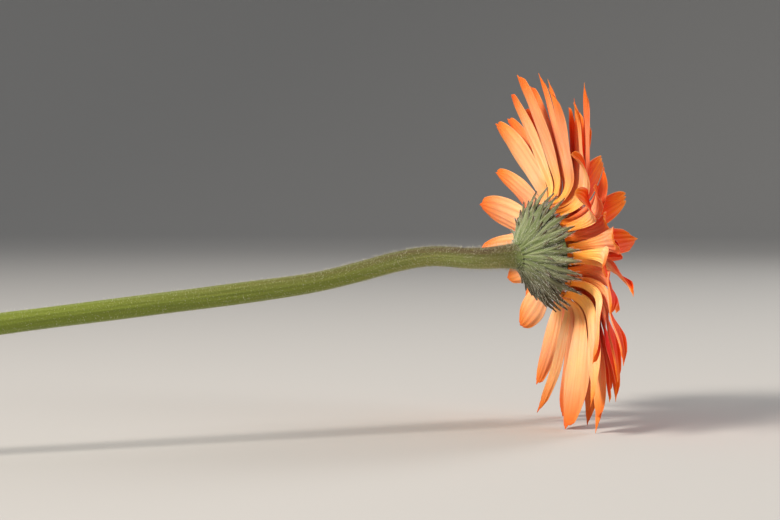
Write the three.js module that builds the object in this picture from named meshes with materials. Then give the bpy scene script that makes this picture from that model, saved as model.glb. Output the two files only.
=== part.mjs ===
// A cut gerbera lying on a table. All sizes in millimetres, +Z up, the table at z = 0.
// The stem runs along X and the flower faces +X. It rests on the cut end of its stem and on
// the tips of its lower rays. Each ray, bract, and the stem, receptacle and disc is one solid.
import * as THREE from 'three';

// Driving sizes
const STEM_LENGTH = 450;          // along the table, from the neck of the flower to the cut end
const STEM_RADIUS_NECK = 2.9;
const STEM_RADIUS_CUT = 3.3;
const HEAD_TILT = 7;              // degrees that the flower looks up from the table
const RAY_LENGTH = 44.7;          // of a middle ray, from its root in the cup to its tip
const RAY_WIDTH = 10.5;           // of a middle ray at its widest
const RAY_THICKNESS = 0.6;        // along the midrib
const RAY_EDGE = 0.3;             // at both edges
const CUP_RADIUS = 18.6;          // of the green cup at its mouth
const GAP = 0.3;                  // kept between neighbouring solids

// The green cup, from the neck to the mouth: share of its radius against height on the axis.
const CUP_SHAPE = [
  [-19, 0.17], [-17, 0.22], [-15, 0.48], [-12, 0.72], [-8, 0.88], [-4, 0.97], [-1, 1.0],
];
const NECK_Z = -18.6;
const RECEPTACLE_TOP = -8.6;

// The three rings of rays. root: share of the cup's radius where a ray starts; z: height of
// its root; standing: how far it runs up inside the cup before it bends outwards.
const ROWS = {
  outer: { root: 0.785, z: -7.0, standing: 6.0, length: 0.98, width: 1.05 },
  middle: { root: 0.715, z: -7.6, standing: 8.2, length: 1.0, width: 1.0 },
  inner: { root: 0.645, z: -8.1, standing: 10.6, length: 1.0, width: 0.9 },
};
// The tuft of florets fills the cup inside the inner ring of rays.
const DISC_RADIUS = CUP_RADIUS * ROWS.inner.root - RAY_THICKNESS / 2 - 1.5 * GAP;
const ROW_BEND = 15;              // length over which a ray bends
const STANDING_ANGLE = 85;        // degrees above the plane of the flower, inside the cup

// One line per ray: name, ring, place round the flower (degrees from straight up, turning
// towards +Y), length and width against its ring, lean above the plane of the flower, further
// curl towards the tip, twist, sideways sway, and how far its edges cup, in degrees.
const RAYS = [
  ["ray_o01", "outer", 9, 1.02, 0.95, -10, -6, 14, 0, 30],
  ["ray_o02", "outer", 40, 0.95, 1.10, -5, -10, 8, 0, 25],
  ["ray_o03", "outer", 76, 1.03, 1.10, -4, -6, 8, 0, 25],
  ["ray_o04", "outer", 103, 0.94, 0.84, 3, 0, 8, 0, 25],
  ["ray_o05", "outer", 122, 0.92, 0.95, 2, 0, 8, 0, 25],
  ["ray_o06", "outer", 146, 1.00, 0.80, -1, -6, 8, 0, 25],
  ["ray_o07", "outer", 166, 0.98, 0.62, -15, -12, 6, 0, 25],
  ["ray_o08", "outer", -174, 1.02, 1.25, -16, -6, 10, 0, 25],
  ["ray_o09", "outer", -149, 0.98, 0.92, -19, -10, -8, 0, 25],
  ["ray_o10", "outer", -130, 0.90, 0.85, -27, -8, -12, 0, 25],
  ["ray_o11", "outer", -94, 0.80, 0.80, -25, -14, 8, 0, 25],
  ["ray_o12", "outer", -61, 0.70, 0.78, -32, -22, 6, 0, 30],
  ["ray_o13", "outer", -39, 0.67, 0.54, -13, -46, 16, 0, 30],
  ["ray_o14", "outer", -13, 0.92, 0.86, -11, -8, 20, 0, 30],
  ["ray_m01", "middle", 20, 1.04, 0.85, 2, -8, 12, 0, 30],
  ["ray_m02", "middle", 38, 1.00, 0.95, -2, -8, 8, 0, 25],
  ["ray_m03", "middle", 63, 1.01, 1.00, -1, -8, 8, 0, 25],
  ["ray_m04", "middle", 89, 0.96, 0.66, 1, -10, 2, 0, 25],
  ["ray_m05", "middle", 113, 0.96, 0.90, 6, 0, 8, 0, 25],
  ["ray_m06", "middle", 134, 0.98, 0.90, 12, -6, 8, 0, 25],
  ["ray_m07", "middle", 157, 1.05, 0.80, 4, -8, 8, 0, 25],
  ["ray_m08", "middle", 180, 1.02, 0.80, -1, -10, 12, 0, 25],
  ["ray_m09", "middle", -162, 1.05, 0.90, -10, -12, -10, 0, 25],
  ["ray_m10", "middle", -130, 0.98, 0.85, -11, -18, -46, 0, 25],
  ["ray_m11", "middle", -103, 1.00, 0.66, -11, -20, -58, 0, 46],
  ["ray_m12", "middle", -84, 0.84, 0.85, -17, -20, -6, 0, 30],
  ["ray_m13", "middle", -55, 0.60, 0.62, -16, -20, 8, 0, 30],
  ["ray_m14", "middle", -26.5, 0.95, 0.59, -10, -10, 30, 0, 30],
  ["ray_m15", "middle", 4, 1.05, 0.76, -5, -8, 22, 0, 30],
  ["ray_i01", "inner", 4, 0.88, 0.85, 6, -4, 14, 0, 30],
  ["ray_i02", "inner", 30.5, 1.02, 0.84, 35, 0, 28, 0, 30],
  ["ray_i03", "inner", 53, 1.14, 1.00, 47, 0, 34, 0, 25],
  ["ray_i04", "inner", 73.5, 1.27, 1.10, 58, -2, 8, 0, 25],
  ["ray_i05", "inner", 96, 1.27, 1.00, 63, -2, 10, 0, 25],
  ["ray_i06", "inner", 126, 0.98, 1.00, 37, 0, 10, 0, 25],
  ["ray_i07", "inner", 155, 0.98, 1.00, 23, 0, 10, 0, 25],
  ["ray_i08", "inner", -179, 0.96, 0.95, 10, -8, -16, 0, 25],
  ["ray_i09", "inner", -155, 1.04, 0.95, -6, -10, -48, 0, 25],
  ["ray_i10", "inner", -124, 0.66, 0.80, -10, -22, -38, 0, 25],
  ["ray_i11", "inner", -92, 0.56, 0.90, -4, -24, -8, 0, 30],
  ["ray_i12", "inner", -18, 1.08, 0.75, -1, -6, 24, 0, 30],
];
// The ray that carries the flower on the table, and those whose length is set to touch it too.
const CARRYING_RAY = "ray_o08";
const TOUCHING_RAYS = ["ray_m07", "ray_m08", "ray_m09"];

// Bracts: the lower ones start at the neck, the upper ones further out, and end by the mouth.
const BRACT_COUNT = 8;            // in each of the two rings
const BRACT_THICKNESS = 0.8;
const LOWER_BRACT = { start: -15.6, end: -5.0, width: 5.4, turn: 0 };
const UPPER_BRACT = { start: -11.5, end: -2.7, width: 4.6, turn: 0.5 };

// Height of the stem's centre at shares of its length from the neck to the cut end.
// Both are shares, the height of how high the neck is above the table.
const STEM_COURSE = [
  [0, 1.0], [0.03, 1.015], [0.06, 1.005], [0.085, 0.975], [0.11, 0.925], [0.14, 0.872],
  [0.19, 0.82], [0.34, 0.69], [0.5, 0.542], [0.7, 0.348], [0.86, 0.19], [0.95, 0.105],
];
const STEM_STEPS = 44;
const STEM_SIDES = 12;

const GREEN = 0x7d8c3a;
const CUP_GREEN = 0x6f8660;
const PEACH = 0xf6a468;
const DISC_RED = 0xb5402c;

function radians(degrees) {
  return (degrees * Math.PI) / 180;
}

function smooth(value) {
  const t = Math.min(1, Math.max(0, value));
  return t * t * (3 - 2 * t);
}

// Straight-line lookup in a list of [place, value] pairs.
function lookup(pairs, place) {
  if (place <= pairs[0][0]) return pairs[0][1];
  for (let i = 1; i < pairs.length; i += 1) {
    const [x1, y1] = pairs[i];
    if (place <= x1) {
      const [x0, y0] = pairs[i - 1];
      return y0 + ((y1 - y0) * (place - x0)) / (x1 - x0);
    }
  }
  return pairs[pairs.length - 1][1];
}

function cupRadius(z) {
  return CUP_RADIUS * lookup(CUP_SHAPE, z);
}

// A closed solid through rings of points, all with the same number of points, capped at both
// ends. The rings turn clockwise when seen from the first one towards the last.
function loft(rings) {
  const count = rings[0].length;
  const points = rings.flat();
  const centres = [rings[0], rings[rings.length - 1]].map((ring) => {
    const middle = new THREE.Vector3();
    ring.forEach((point) => middle.add(point));
    return middle.divideScalar(count);
  });
  points.push(...centres);
  const faces = [];
  for (let r = 0; r < rings.length - 1; r += 1) {
    for (let i = 0; i < count; i += 1) {
      const a = r * count + i;
      const b = r * count + ((i + 1) % count);
      faces.push(a, b, b + count, a, b + count, a + count);
    }
  }
  const last = (rings.length - 1) * count;
  for (let i = 0; i < count; i += 1) {
    const j = (i + 1) % count;
    faces.push(points.length - 2, j, i, points.length - 1, last + i, last + j);
  }
  const geometry = new THREE.BufferGeometry().setFromPoints(points);
  geometry.setIndex(faces);
  return geometry;
}

// Turns a loft inside out if its rings run the other way round.
function outward(geometry) {
  const position = geometry.getAttribute('position');
  const index = geometry.getIndex().array;
  const corner = [0, 1, 2].map(() => new THREE.Vector3());
  let volume = 0;
  for (let i = 0; i < index.length; i += 3) {
    corner.forEach((point, k) => point.fromBufferAttribute(position, index[i + k]));
    volume += corner[0].dot(corner[1].clone().cross(corner[2]));
  }
  if (volume < 0) {
    for (let i = 0; i < index.length; i += 3) {
      [index[i], index[i + 1]] = [index[i + 1], index[i]];
    }
  }
  return geometry;
}

// The directions at one place round the flower: outwards, round it, and along its axis.
function directions(degrees) {
  const a = radians(degrees);
  return {
    out: new THREE.Vector3(Math.sin(a), Math.cos(a), 0),
    round: new THREE.Vector3(Math.cos(a), -Math.sin(a), 0),
    axis: new THREE.Vector3(0, 0, 1),
  };
}

// ---- Rays ----
const RAY_SAMPLES = 120;
const RAY_STATIONS = [0, 0.09, 0.17, 0.25, 0.34, 0.46, 0.6, 0.74, 0.87, 0.95, 0.99];
const FLAT_CUP = 0.001;           // radians, so that a flat root still has a radius of curvature
const RAY_RING = [[-1, 1], [-0.4, 1], [0.4, 1], [1, 1], [1, -1], [0.4, -1], [-0.4, -1], [-1, -1]];
// Shares of a ray's length where its curl, sway, twist and cupping set in or are complete.
const CURL_START = 0.4;
const SWAY_START = 0.25;
const TWIST_START = 0.2;
const TWIST_FULL = 0.7;
const CUPPED_FULL = 0.4;
// Outline of a ray: width at its root against its widest, and where it is widest and rounds off.
const ROOT_WIDTH = 0.24;
const WIDEST = 0.66;
const TIP_START = 0.62;
const TIP_LENGTH = 0.385;
const TIP_POWER = 2.1;

// A line of RAYS as the sizes of one ray.
function readRay(line) {
  const [name, row, at, long, wide, lean, curl, twist, sway, cup] = line;
  const ring = ROWS[row];
  const length = RAY_LENGTH * ring.length * long;
  const width = RAY_WIDTH * ring.width * wide;
  return { name, ring, at, length, width, lean, curl, twist, sway, cup };
}

// Heading of the midrib above the plane of the flower, in degrees: it stands up in the cup,
// bends outwards to its lean, then curls on towards the tip.
function rayHeading(ray, share) {
  const along = share * ray.length;
  const bent = smooth((along - ray.ring.standing) / ROW_BEND + 0.5);
  const late = Math.max(0, (share - CURL_START) / (1 - CURL_START));
  return STANDING_ANGLE + (ray.lean - STANDING_ANGLE) * bent + ray.curl * late * late;
}

// Width of a ray at a share of its length, against its widest: narrow root, rounded tip.
function rayOutline(share) {
  const grow = ROOT_WIDTH + (1 - ROOT_WIDTH) * smooth(share / WIDEST);
  const tip = Math.max(0, (share - TIP_START) / TIP_LENGTH);
  return grow * Math.sqrt(Math.max(0, 1 - tip ** TIP_POWER));
}

// The midrib, by adding up short steps along its heading.
function rayMidrib(ray) {
  const step = ray.length / RAY_SAMPLES;
  let radius = CUP_RADIUS * ray.ring.root;
  let z = ray.ring.z;
  const samples = [[radius, z]];
  for (let i = 0; i < RAY_SAMPLES; i += 1) {
    const heading = radians(rayHeading(ray, (i + 0.5) / RAY_SAMPLES));
    radius += Math.cos(heading) * step;
    z += Math.sin(heading) * step;
    samples.push([radius, z]);
  }
  return samples;
}

// Rings round the ray's section, an arc as wide as its outline, thick at the midrib.
function rayRings(ray) {
  const { out, round, axis } = directions(ray.at);
  const samples = rayMidrib(ray);
  return RAY_STATIONS.map((share) => {
    const [radius, z] = samples[Math.round(share * RAY_SAMPLES)];
    const heading = radians(rayHeading(ray, share));
    const late = Math.max(0, share - SWAY_START) / (1 - SWAY_START);
    const swing = radians(ray.sway) * ray.length * late * late;
    const centre = out.clone().multiplyScalar(radius).addScaledVector(axis, z)
      .addScaledVector(round, swing);
    const face = axis.clone().multiplyScalar(Math.cos(heading))
      .addScaledVector(out, -Math.sin(heading));
    const turn = radians(ray.twist) * smooth((share - TWIST_START) / (TWIST_FULL - TWIST_START));
    const across = round.clone().multiplyScalar(Math.cos(turn))
      .addScaledVector(face, Math.sin(turn));
    const up = face.clone().multiplyScalar(Math.cos(turn))
      .addScaledVector(round, -Math.sin(turn));
    const cup = radians(ray.cup) * smooth(share / CUPPED_FULL) + FLAT_CUP;
    const half = (ray.width * rayOutline(share)) / 2;
    return RAY_RING.map(([v, side]) => {
      const angle = cup * v;
      const thick = (Math.abs(v) === 1 ? RAY_EDGE : RAY_THICKNESS) / 2;
      return centre.clone()
        .addScaledVector(across, (half * Math.sin(angle)) / cup - side * thick * Math.sin(angle))
        .addScaledVector(up, (half * (1 - Math.cos(angle))) / cup + side * thick * Math.cos(angle));
    });
  });
}

// ---- Bracts ----
const BRACT_STATIONS = [0, 0.2, 0.45, 0.7, 0.9, 0.99];
const BRACT_OUTLINE = [[0, 0.55], [0.2, 0.75], [0.45, 1], [0.7, 0.8], [0.9, 0.51], [1, 0.16]];
const BRACT_LIFT = 0.2;           // how far a bract's tip stands off the cup
const BRACT_RING = [[-1, 0], [-0.5, 0.8], [0.5, 0.8], [1, 0], [0.5, -0.8], [-0.5, -0.8]];

// A narrow scale that lies on the cup and tapers to its tip.
function bractRings(shape, at) {
  const { out, round, axis } = directions(at);
  return BRACT_STATIONS.map((share) => {
    const z = shape.start + (shape.end - shape.start) * share;
    const radius = cupRadius(z) - BRACT_THICKNESS / 2 + BRACT_LIFT * share;
    const centre = out.clone().multiplyScalar(radius).addScaledVector(axis, z);
    const half = (shape.width / 2) * lookup(BRACT_OUTLINE, share);
    const thick = BRACT_THICKNESS / 2;
    return BRACT_RING.map(([v, side]) => centre.clone()
      .addScaledVector(round, half * v)
      .addScaledVector(out, side * thick));
  });
}

// ---- Receptacle and disc ----
const HEART_INSET = BRACT_THICKNESS + 2 * GAP;  // from the outside of the cup to its heart
const ROUND_SEGMENTS = 32;

// A round solid about the flower's axis, from a profile of [radius, height].
function lathe(profile, segments) {
  const points = profile.map(([radius, z]) => new THREE.Vector2(radius, z));
  const geometry = new THREE.LatheGeometry(points, segments);
  geometry.rotateX(Math.PI / 2);
  return geometry;
}

// The solid heart of the cup, inside the bracts, from the neck to the roots of the rays.
function receptacle() {
  const wall = [-15.6, -14, -12, -10, RECEPTACLE_TOP].map((z) => [cupRadius(z) - HEART_INSET, z]);
  const neck = [[0, NECK_Z], [STEM_RADIUS_NECK, NECK_Z], [STEM_RADIUS_NECK + 0.3, -17.4]];
  return lathe([...neck, ...wall, [0, RECEPTACLE_TOP]], ROUND_SEGMENTS);
}

// The tuft of small florets in the middle, as one solid.
function disc() {
  const root = RECEPTACLE_TOP + GAP;
  return lathe([
    [0, root], [DISC_RADIUS, root], [DISC_RADIUS, 2], [DISC_RADIUS + 1.2, 6.5],
    [DISC_RADIUS - 0.5, 8.3], [DISC_RADIUS * 0.6, 9.2], [0, 9.6],
  ], ROUND_SEGMENTS);
}

// ---- Placing the flower ----
const SHORTEST_TOUCH = 0.8;       // share of its own length that a touching ray may be cut to
const LONGEST_TOUCH = 1.25;
const TOUCH_STEPS = 30;

// How low a ray reaches once the flower is turned to the table's axes.
function lowestPoint(ray, headMatrix) {
  const points = rayRings(ray).flat();
  return Math.min(...points.map((point) => point.applyMatrix4(headMatrix).z));
}

// Turns the flower from its own axes (its axis Z, up Y, far side X) to the table's.
function headTurn() {
  const tilt = radians(HEAD_TILT);
  const far = new THREE.Vector3(0, 1, 0);
  const up = new THREE.Vector3(-Math.sin(tilt), 0, Math.cos(tilt));
  const axis = new THREE.Vector3(Math.cos(tilt), 0, Math.sin(tilt));
  return new THREE.Matrix4().makeBasis(far, up, axis);
}

// Lengthens or shortens a ray until its lowest point is on the table.
function touchTable(ray, headMatrix) {
  let short = ray.length * SHORTEST_TOUCH;
  let long = ray.length * LONGEST_TOUCH;
  for (let i = 0; i < TOUCH_STEPS; i += 1) {
    const length = (short + long) / 2;
    if (lowestPoint({ ...ray, length }, headMatrix) > 0) short = length;
    else long = length;
  }
  return { ...ray, length: short };
}

// ---- Stem ----
// A round stalk from the neck down to the table, where its cut end rests.
function stemRings(neck, direction) {
  const course = STEM_COURSE.map(([share, height]) => [share, height * neck.z]);
  course.push([1, STEM_RADIUS_CUT]);
  const points = course.map(([share, z]) => new THREE.Vector3(neck.x - share * STEM_LENGTH, 0, z));
  points[1].copy(neck).addScaledVector(direction, -STEM_LENGTH * STEM_COURSE[1][0]);
  points[1].z = (points[1].z + course[1][1]) / 2;
  const curve = new THREE.CatmullRomCurve3(points, false, 'centripetal');
  const across = new THREE.Vector3(0, 1, 0);
  const rings = [];
  for (let i = 0; i <= STEM_STEPS; i += 1) {
    const share = i / STEM_STEPS;
    const centre = curve.getPointAt(share);
    const along = i === 0 ? direction.clone().negate() : curve.getTangentAt(share);
    const up = new THREE.Vector3().crossVectors(along, across).normalize();
    const radius = STEM_RADIUS_NECK + (STEM_RADIUS_CUT - STEM_RADIUS_NECK) * share;
    const ring = [];
    for (let k = 0; k < STEM_SIDES; k += 1) {
      const angle = (2 * Math.PI * k) / STEM_SIDES;
      ring.push(centre.clone()
        .addScaledVector(across, radius * Math.sin(angle))
        .addScaledVector(up, radius * Math.cos(angle)));
    }
    rings.push(ring);
  }
  return rings;
}

// ---- Assembly ----
const part = new THREE.Group();
part.name = 'cut_gerbera';

function add(name, geometry, color, roughness) {
  const material = new THREE.MeshStandardMaterial({ color, roughness, metalness: 0 });
  const mesh = new THREE.Mesh(geometry, material);
  mesh.name = name;
  part.add(mesh);
}

const headMatrix = headTurn();
const rays = RAYS.map(readRay);
const carrying = rays.find((ray) => ray.name === CARRYING_RAY);
const headHeight = -lowestPoint(carrying, headMatrix);
headMatrix.setPosition(0, 0, headHeight);

rays.forEach((ray) => {
  const set = TOUCHING_RAYS.includes(ray.name) ? touchTable(ray, headMatrix) : ray;
  add(ray.name, outward(loft(rayRings(set))).applyMatrix4(headMatrix), PEACH, 0.55);
});

[['lower', LOWER_BRACT], ['upper', UPPER_BRACT]].forEach(([ring, shape]) => {
  for (let i = 0; i < BRACT_COUNT; i += 1) {
    const at = ((i + shape.turn) * 360) / BRACT_COUNT;
    const name = `bract_${ring}_${i + 1}`;
    add(name, outward(loft(bractRings(shape, at))).applyMatrix4(headMatrix), CUP_GREEN, 0.8);
  }
});

add('receptacle', receptacle().applyMatrix4(headMatrix), CUP_GREEN, 0.8);
add('disc_florets', disc().applyMatrix4(headMatrix), DISC_RED, 0.7);

const axis = new THREE.Vector3(0, 0, 1).transformDirection(headMatrix);
const neck = new THREE.Vector3(0, 0, NECK_Z - GAP).applyMatrix4(headMatrix);
add('stem', outward(loft(stemRings(neck, axis))), GREEN, 0.7);

// Sets the middle of the flower's outer box over the origin, with the table at z = 0.
const box = new THREE.Box3();
part.children.forEach((mesh) => {
  mesh.geometry.computeBoundingBox();
  box.union(mesh.geometry.boundingBox);
});
const middle = box.getCenter(new THREE.Vector3());
part.children.forEach((mesh) => mesh.geometry.translate(-middle.x, -middle.y, -box.min.z));

export default part;
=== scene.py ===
"""A cut gerbera lying on a table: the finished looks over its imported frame.

Lengths are millimetres until a mesh is made, and angles are degrees until they are used. The flower has its
own axes: Z out of its face, Y up and X to its far side. The table's axes are the frame's: +X along the stem
towards the flower, +Z up.
"""

import math

import bpy
import numpy as np
from mathutils import Matrix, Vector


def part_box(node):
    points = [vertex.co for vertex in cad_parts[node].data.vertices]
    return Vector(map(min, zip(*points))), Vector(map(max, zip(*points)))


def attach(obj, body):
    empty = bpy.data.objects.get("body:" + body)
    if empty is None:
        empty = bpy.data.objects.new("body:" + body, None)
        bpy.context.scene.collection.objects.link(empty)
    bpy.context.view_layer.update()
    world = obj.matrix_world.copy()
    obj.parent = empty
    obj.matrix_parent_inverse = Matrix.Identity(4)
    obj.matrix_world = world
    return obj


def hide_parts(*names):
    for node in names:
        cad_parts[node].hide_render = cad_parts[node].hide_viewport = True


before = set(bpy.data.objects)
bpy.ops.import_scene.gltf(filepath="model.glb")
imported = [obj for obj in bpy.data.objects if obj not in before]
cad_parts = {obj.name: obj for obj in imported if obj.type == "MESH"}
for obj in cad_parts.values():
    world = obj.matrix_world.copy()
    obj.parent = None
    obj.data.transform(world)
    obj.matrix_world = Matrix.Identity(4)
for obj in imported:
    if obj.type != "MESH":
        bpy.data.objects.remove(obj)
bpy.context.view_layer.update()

MM = 0.001

# ---- Sizes that the frame has too ----
STEM_LENGTH = 450
STEM_RADIUS_NECK = 2.9
STEM_RADIUS_CUT = 3.3
HEAD_TILT = 7
RAY_LENGTH = 44.7
RAY_WIDTH = 10.5
CUP_RADIUS = 18.6
NECK_Z = -18.6
RECEPTACLE_TOP = -8.6
HEART_INSET = 1.4
WAIST = 2.0                       # how far the scales draw in below the cup, at its deepest
WAIST_Z = -14.5
WAIST_REACH = 3.0
UPRIGHT = np.array([0.0, 0, 1])

# Outside of the cup: height on the flower's axis, and share of its greatest radius.
CUP_SHAPE = [(-19, 0.17), (-17, 0.22), (-15, 0.48), (-12, 0.72), (-8, 0.88), (-4, 0.97), (-1, 1.0)]

# Rings of rays: root radius as a share of the cup's, root height, how far a ray stands up before it bends
# outwards, its length and width against the usual, and how deep the colour of its back is.
ROWS = {
    "o": dict(root=0.785, z=-7.0, standing=6.0, length=0.98, width=1.05, deep=0.0),
    "m": dict(root=0.715, z=-7.6, standing=8.2, length=1.0, width=1.0, deep=0.2),
    "i": dict(root=0.645, z=-8.1, standing=10.6, length=1.0, width=0.9, deep=0.55),
}
ROW_BEND = 15
STANDING_ANGLE = 85

# Each ray: place round the flower in degrees, length and width against its ring's, then in degrees its lean,
# how much it curls further, its twist, its sway to a side and how far its rims are cupped.
RAYS = {
    "o01": (9, 1.02, 0.95, -10, -6, 14, 0, 30),
    "o02": (40, 0.95, 1.10, -5, -10, 8, 0, 25),
    "o03": (76, 1.03, 1.10, -4, -6, 8, 0, 25),
    "o04": (103, 0.94, 0.84, 3, 0, 8, 0, 25),
    "o05": (122, 0.92, 0.95, 2, 0, 8, 0, 25),
    "o06": (146, 1.00, 0.80, -1, -6, 8, 0, 25),
    "o07": (166, 0.98, 0.62, -15, -12, 6, 0, 25),
    "o08": (-174, 1.02, 1.25, -16, -6, 10, 0, 25),
    "o09": (-149, 0.98, 0.92, -19, -10, -8, 0, 25),
    "o10": (-130, 0.90, 0.85, -27, -8, -12, 0, 25),
    "o11": (-94, 0.80, 0.80, -25, -14, 8, 0, 25),
    "o12": (-61, 0.70, 0.78, -32, -22, 6, 0, 30),
    "o13": (-39, 0.67, 0.54, -13, -46, 16, 0, 30),
    "o14": (-13, 0.92, 0.86, -11, -8, 20, 0, 30),
    "m01": (20, 1.04, 0.85, 2, -8, 12, 0, 30),
    "m02": (38, 1.00, 0.95, -2, -8, 8, 0, 25),
    "m03": (63, 1.01, 1.00, -1, -8, 8, 0, 25),
    "m04": (89, 0.96, 0.66, 1, -10, 2, 0, 25),
    "m05": (113, 0.96, 0.90, 6, 0, 8, 0, 25),
    "m06": (134, 0.98, 0.90, 12, -6, 8, 0, 25),
    "m07": (157, 1.05, 0.80, 4, -8, 8, 0, 25),
    "m08": (180, 1.02, 0.80, -1, -10, 12, 0, 25),
    "m09": (-162, 1.05, 0.90, -10, -12, -10, 0, 25),
    "m10": (-130, 0.98, 0.85, -11, -18, -46, 0, 25),
    "m11": (-103, 1.00, 0.66, -11, -20, -58, 0, 46),
    "m12": (-84, 0.84, 0.85, -17, -20, -6, 0, 30),
    "m13": (-55, 0.60, 0.62, -16, -20, 8, 0, 30),
    "m14": (-26.5, 0.95, 0.59, -10, -10, 30, 0, 30),
    "m15": (4, 1.05, 0.76, -5, -8, 22, 0, 30),
    "i01": (4, 0.88, 0.85, 6, -4, 14, 0, 30),
    "i02": (30.5, 1.02, 0.84, 35, 0, 28, 0, 30),
    "i03": (53, 1.14, 1.00, 47, 0, 34, 0, 25),
    "i04": (73.5, 1.27, 1.10, 58, -2, 8, 0, 25),
    "i05": (96, 1.27, 1.00, 63, -2, 10, 0, 25),
    "i06": (126, 0.98, 1.00, 37, 0, 10, 0, 25),
    "i07": (155, 0.98, 1.00, 23, 0, 10, 0, 25),
    "i08": (-179, 0.96, 0.95, 10, -8, -16, 0, 25),
    "i09": (-155, 1.04, 0.95, -6, -10, -48, 0, 25),
    "i10": (-124, 0.66, 0.80, -10, -22, -38, 0, 25),
    "i11": (-92, 0.56, 0.90, -4, -24, -8, 0, 30),
    "i12": (-18, 1.08, 0.75, -1, -6, 24, 0, 30),
}

# Rays tucked between the others, which the frame leaves out.
TUCKED_RAYS = {
    "o21": (25, 0.98, 0.80, -4, -6, 10, 0, 25),
    "m21": (29, 0.95, 0.85, 2, -6, 8, 0, 25),
    "i21": (14, 1.00, 0.75, 0, -4, 14, 0, 30),
    "m22": (-14, 0.88, 0.80, -1, -6, 20, 0, 30),
    "o22": (-158, 0.98, 0.80, -10, -8, 10, 0, 25),
    "i22": (-143, 1.00, 1.00, -12, -8, -40, 0, 30),
    "i23": (-118, 0.80, 1.00, -23, -14, -34, 0, 35),
    "i24": (-168, 1.00, 0.85, 0, -8, -30, 0, 25),
    "i25": (-6, 0.84, 0.90, 6, -4, 16, 0, 25),
    "i26": (14, 0.78, 0.95, 23, -4, 12, 0, 25),
    "i27": (172, 0.94, 0.90, 9, -8, 4, 0, 25),
    "i28": (-70, 0.56, 0.80, -16, -24, 0, 0, 25),
    "i29": (-44, 0.66, 0.85, -2, -18, 12, 0, 25),
    "o24": (91, 0.86, 0.90, -14, -6, 6, 0, 25),
    "m25": (-2, 1.00, 0.80, -5, -8, 22, 0, 30),
}
ALL_RAYS = {**RAYS, **TUCKED_RAYS}
RESTING_RAYS = ("o08", "m07", "m08", "m09")   # their tips lie on the table

# The stem's centre line: share of its length back from the neck, and height against the neck's.
STEM_COURSE = [
    (0, 1.0), (0.03, 1.015), (0.06, 1.005), (0.085, 0.975), (0.11, 0.925), (0.14, 0.872),
    (0.19, 0.82), (0.34, 0.69), (0.5, 0.542), (0.7, 0.348), (0.86, 0.19), (0.95, 0.105),
]


# ---- Small sums ----
def smooth(value):
    """Eased step: 0 below 0, 1 above 1, and 3t2 - 2t3 between."""
    t = np.clip(value, 0, 1)
    return t * t * (3 - 2 * t)


def stack(*parts):
    """Coordinates as one array of points, each stretched to fit the others."""
    return np.stack(np.broadcast_arrays(*parts), axis=-1)


def linear(hex_colour, alpha=1.0):
    """An sRGB hex colour as linear red, green, blue and alpha."""
    value = int(hex_colour.lstrip("#"), 16)
    channels = [(value >> shift & 255) / 255 for shift in (16, 8, 0)]
    return [c / 12.92 if c <= 0.04045 else ((c + 0.055) / 1.055) ** 2.4 for c in channels] + [alpha]


def cup_radius(z):
    """Radius of the frame's cup at a height: straight between the points of CUP_SHAPE."""
    heights, shares = np.array(CUP_SHAPE).T
    return CUP_RADIUS * np.interp(z, heights, shares)


def waist(z):
    """How far the scales draw in towards the neck, inside the frame's plainer cup: a bell-shaped dip."""
    return WAIST * np.exp(-(((z - WAIST_Z) / WAIST_REACH) ** 2))


# ---- Place of the flower in the frame ----
TILT = math.radians(HEAD_TILT)
HEAD_TURN = np.array([
    [0, -math.sin(TILT), math.cos(TILT)],
    [1, 0, 0],
    [0, math.cos(TILT), math.sin(TILT)],
])
FLOWER_AXIS = HEAD_TURN[:, 2]


def heart_profile():
    """Radius and height of the receptacle's wall, as in the frame."""
    wall = [(cup_radius(z) - HEART_INSET, z) for z in (-15.6, -14, -12, -10, RECEPTACLE_TOP)]
    return np.array([(STEM_RADIUS_NECK, NECK_Z), (STEM_RADIUS_NECK + 0.3, -17.4), *wall])


def head_place():
    """Origin of the flower's axes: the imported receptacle's box less the box of its turned profile."""
    low, high = (np.array(corner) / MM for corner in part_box("receptacle"))
    radius, z = heart_profile().T
    far_x = np.max(z * math.cos(TILT) + radius * math.sin(TILT))
    far_z = np.max(z * math.sin(TILT) + radius * math.cos(TILT))
    return np.array([high[0] - far_x, (low[1] + high[1]) / 2, high[2] - far_z])


HEAD = head_place()


def to_table(points):
    """Points in the flower's axes as points in the table's."""
    return points @ HEAD_TURN.T + HEAD


def directions(degrees):
    """Outwards and round the flower at one place, as unit vectors in its axes."""
    a = np.radians(degrees)
    zero = np.zeros_like(a)
    return stack(np.sin(a), np.cos(a), zero), stack(np.cos(a), -np.sin(a), zero)


# ---- Meshes ----
def wrap(stations, around):
    """Quads between neighbouring closed loops, for loops stored one after another."""
    i = np.arange(stations - 1)[:, None] * around
    j = np.arange(around)[None, :]
    k = (j + 1) % around
    return np.stack([i + j, i + k, i + around + k, i + around + j], -1).reshape(-1, 4)


def fan(ring, centre):
    """Triangles from a centre point to each edge of a ring of point numbers."""
    ring = np.asarray(ring)
    return np.stack([np.full(len(ring), centre), np.roll(ring, -1), ring], -1)


def tube(stations, around):
    """Faces of closed loops with both ends closed; the two centre points follow the loops' points."""
    ring, size = np.arange(around), stations * around
    ends = [fan(ring, size), fan(ring + size - around, size + 1)[:, ::-1]]
    return [wrap(stations, around), np.concatenate(ends)]


def front_and_back(v):
    """Lines across a closed sheet: v on its front from rim to rim, then back again on its back. side is 1
    on the front, -1 on the back and 0 on the rims."""
    lines = len(v)
    side = np.concatenate([np.ones(lines), -np.ones(lines - 2)])
    side[[0, lines - 1]] = 0
    return np.concatenate([v, v[-2:0:-1]]), side


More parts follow.
